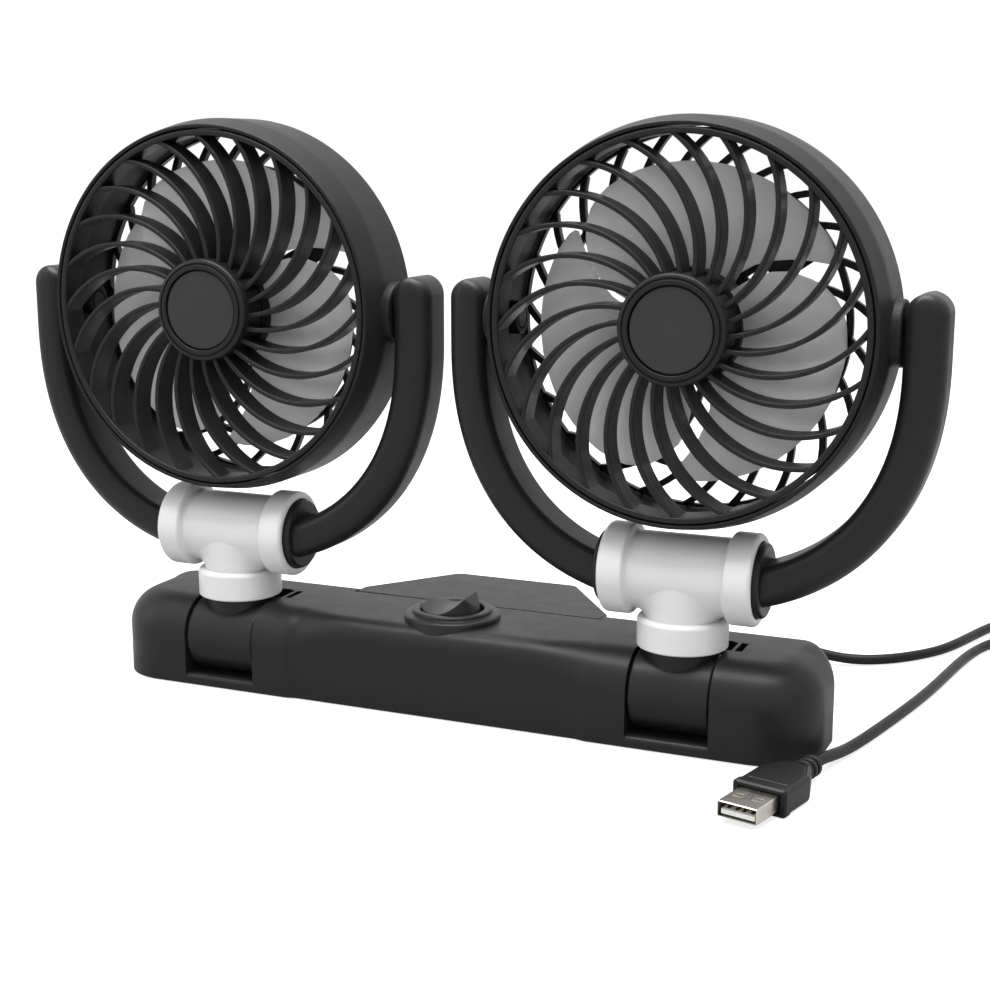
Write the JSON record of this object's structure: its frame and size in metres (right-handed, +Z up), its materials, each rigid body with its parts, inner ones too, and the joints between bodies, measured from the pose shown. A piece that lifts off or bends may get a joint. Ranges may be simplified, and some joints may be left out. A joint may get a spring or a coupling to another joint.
{
  "type": "dual head car fan",
  "caption": "Two caged fan heads on tilting, swivelling yokes over a long stick-on base with a round rocker switch and a USB cord.",
  "frame": {"origin": "underside of the adhesive pad, midway between the two heads, below the axes of the swivel stems", "axes": "+X from the left head to the right one along the base, -Y the way the fans face at rest, +Z up"},
  "size_m": [0.3324, 0.2329, 0.1854],
  "materials": {
    "dark_plastic": "fine satin moulded plastic",
    "pale_plastic": "satin silver-grey moulded plastic",
    "smoke_blades": "translucent smoke-grey plastic",
    "steel": "nickel-plated steel",
    "motor_can": "zinc-plated can",
    "cord_pvc": "black PVC",
    "foam": "foam pad with adhesive face",
    "board": "solder-masked circuit board"
  },
  "bodies": {
    "base": {"base_housing": "dark_plastic", "rear_cover": "dark_plastic", "bottom_plate": "dark_plastic", "adhesive_pad": "foam", "base_screw_1": "steel", "base_screw_2": "steel", "base_screw_3": "steel", "base_screw_4": "steel", "circuit_board": "board", "switch_bezel": "dark_plastic", "switch_body": "dark_plastic", "hinge_pin_left": "steel", "hinge_pin_right": "steel", "cable_gland": "cord_pvc", "cord_lead": "cord_pvc", "cord_coil": "cord_pvc", "cord_tail": "cord_pvc", "cord_tie": "cord_pvc", "plug_body": "cord_pvc", "plug_shell": "steel", "plug_tongue": "cord_pvc"},
    "rocker": {"rocker": "dark_plastic"},
    "knuckle_left": {"knuckle_left": "dark_plastic"},
    "tee_left": {"tee_left": "pale_plastic", "swivel_screw_left": "steel"},
    "yoke_left": {"yoke_arm_left_outer": "dark_plastic", "yoke_arm_left_inner": "dark_plastic", "yoke_tie_left": "steel", "pivot_screw_left_outer": "steel", "pivot_screw_left_inner": "steel"},
    "head_left": {"shroud_left": "dark_plastic", "rear_grille_left": "dark_plastic", "front_grille_left": "dark_plastic", "hub_disc_left": "dark_plastic", "motor_left": "motor_can", "lead_clip_left": "dark_plastic"},
    "impeller_left": {"impeller_left": "smoke_blades", "motor_shaft_left": "steel"},
    "knuckle_right": {"knuckle_right": "dark_plastic"},
    "tee_right": {"tee_right": "pale_plastic", "swivel_screw_right": "steel"},
    "yoke_right": {"yoke_arm_right_outer": "dark_plastic", "yoke_arm_right_inner": "dark_plastic", "yoke_tie_right": "steel", "pivot_screw_right_outer": "steel", "pivot_screw_right_inner": "steel"},
    "head_right": {"shroud_right": "dark_plastic", "rear_grille_right": "dark_plastic", "front_grille_right": "dark_plastic", "hub_disc_right": "dark_plastic", "motor_right": "motor_can", "lead_clip_right": "dark_plastic"},
    "impeller_right": {"impeller_right": "smoke_blades", "motor_shaft_right": "steel"}
  },
  "joints": [
    {"name": "rocker_press", "type": "hinge", "parent": "base", "child": "rocker", "pos_m": [0, 0.0025, 0.0285], "axis": [0, 1, 0], "range_deg": [0, 24]},
    {"name": "fold_left", "type": "hinge", "parent": "base", "child": "knuckle_left", "pos_m": [-0.0773, -0.0025, 0.0158], "axis": [1, 0, 0], "range_deg": [0, 50]},
    {"name": "swivel_left", "type": "hinge", "parent": "knuckle_left", "child": "tee_left", "pos_m": [-0.0773, 0, 0.052], "axis": [0, 0, 1], "range_deg": [-170, 170]},
    {"name": "roll_left", "type": "hinge", "parent": "tee_left", "child": "yoke_left", "pos_m": [-0.0773, 0, 0.052], "axis": [1, 0, 0], "range_deg": [-40, 40]},
    {"name": "tilt_left", "type": "hinge", "parent": "yoke_left", "child": "head_left", "pos_m": [-0.0773, 0, 0.126], "axis": [1, 0, 0], "range_deg": [-50, 50]},
    {"name": "spin_left", "type": "hinge", "parent": "head_left", "child": "impeller_left", "pos_m": [-0.0773, 0, 0.126], "axis": [0, 1, 0], "continuous": true},
    {"name": "fold_right", "type": "hinge", "parent": "base", "child": "knuckle_right", "pos_m": [0.0773, -0.0025, 0.0158], "axis": [1, 0, 0], "range_deg": [0, 50]},
    {"name": "swivel_right", "type": "hinge", "parent": "knuckle_right", "child": "tee_right", "pos_m": [0.0773, 0, 0.052], "axis": [0, 0, 1], "range_deg": [-170, 170]},
    {"name": "roll_right", "type": "hinge", "parent": "tee_right", "child": "yoke_right", "pos_m": [0.0773, 0, 0.052], "axis": [1, 0, 0], "range_deg": [-40, 40]},
    {"name": "tilt_right", "type": "hinge", "parent": "yoke_right", "child": "head_right", "pos_m": [0.0773, 0, 0.126], "axis": [1, 0, 0], "range_deg": [-50, 50]},
    {"name": "spin_right", "type": "hinge", "parent": "head_right", "child": "impeller_right", "pos_m": [0.0773, 0, 0.126], "axis": [0, 1, 0], "continuous": true}
  ]
}
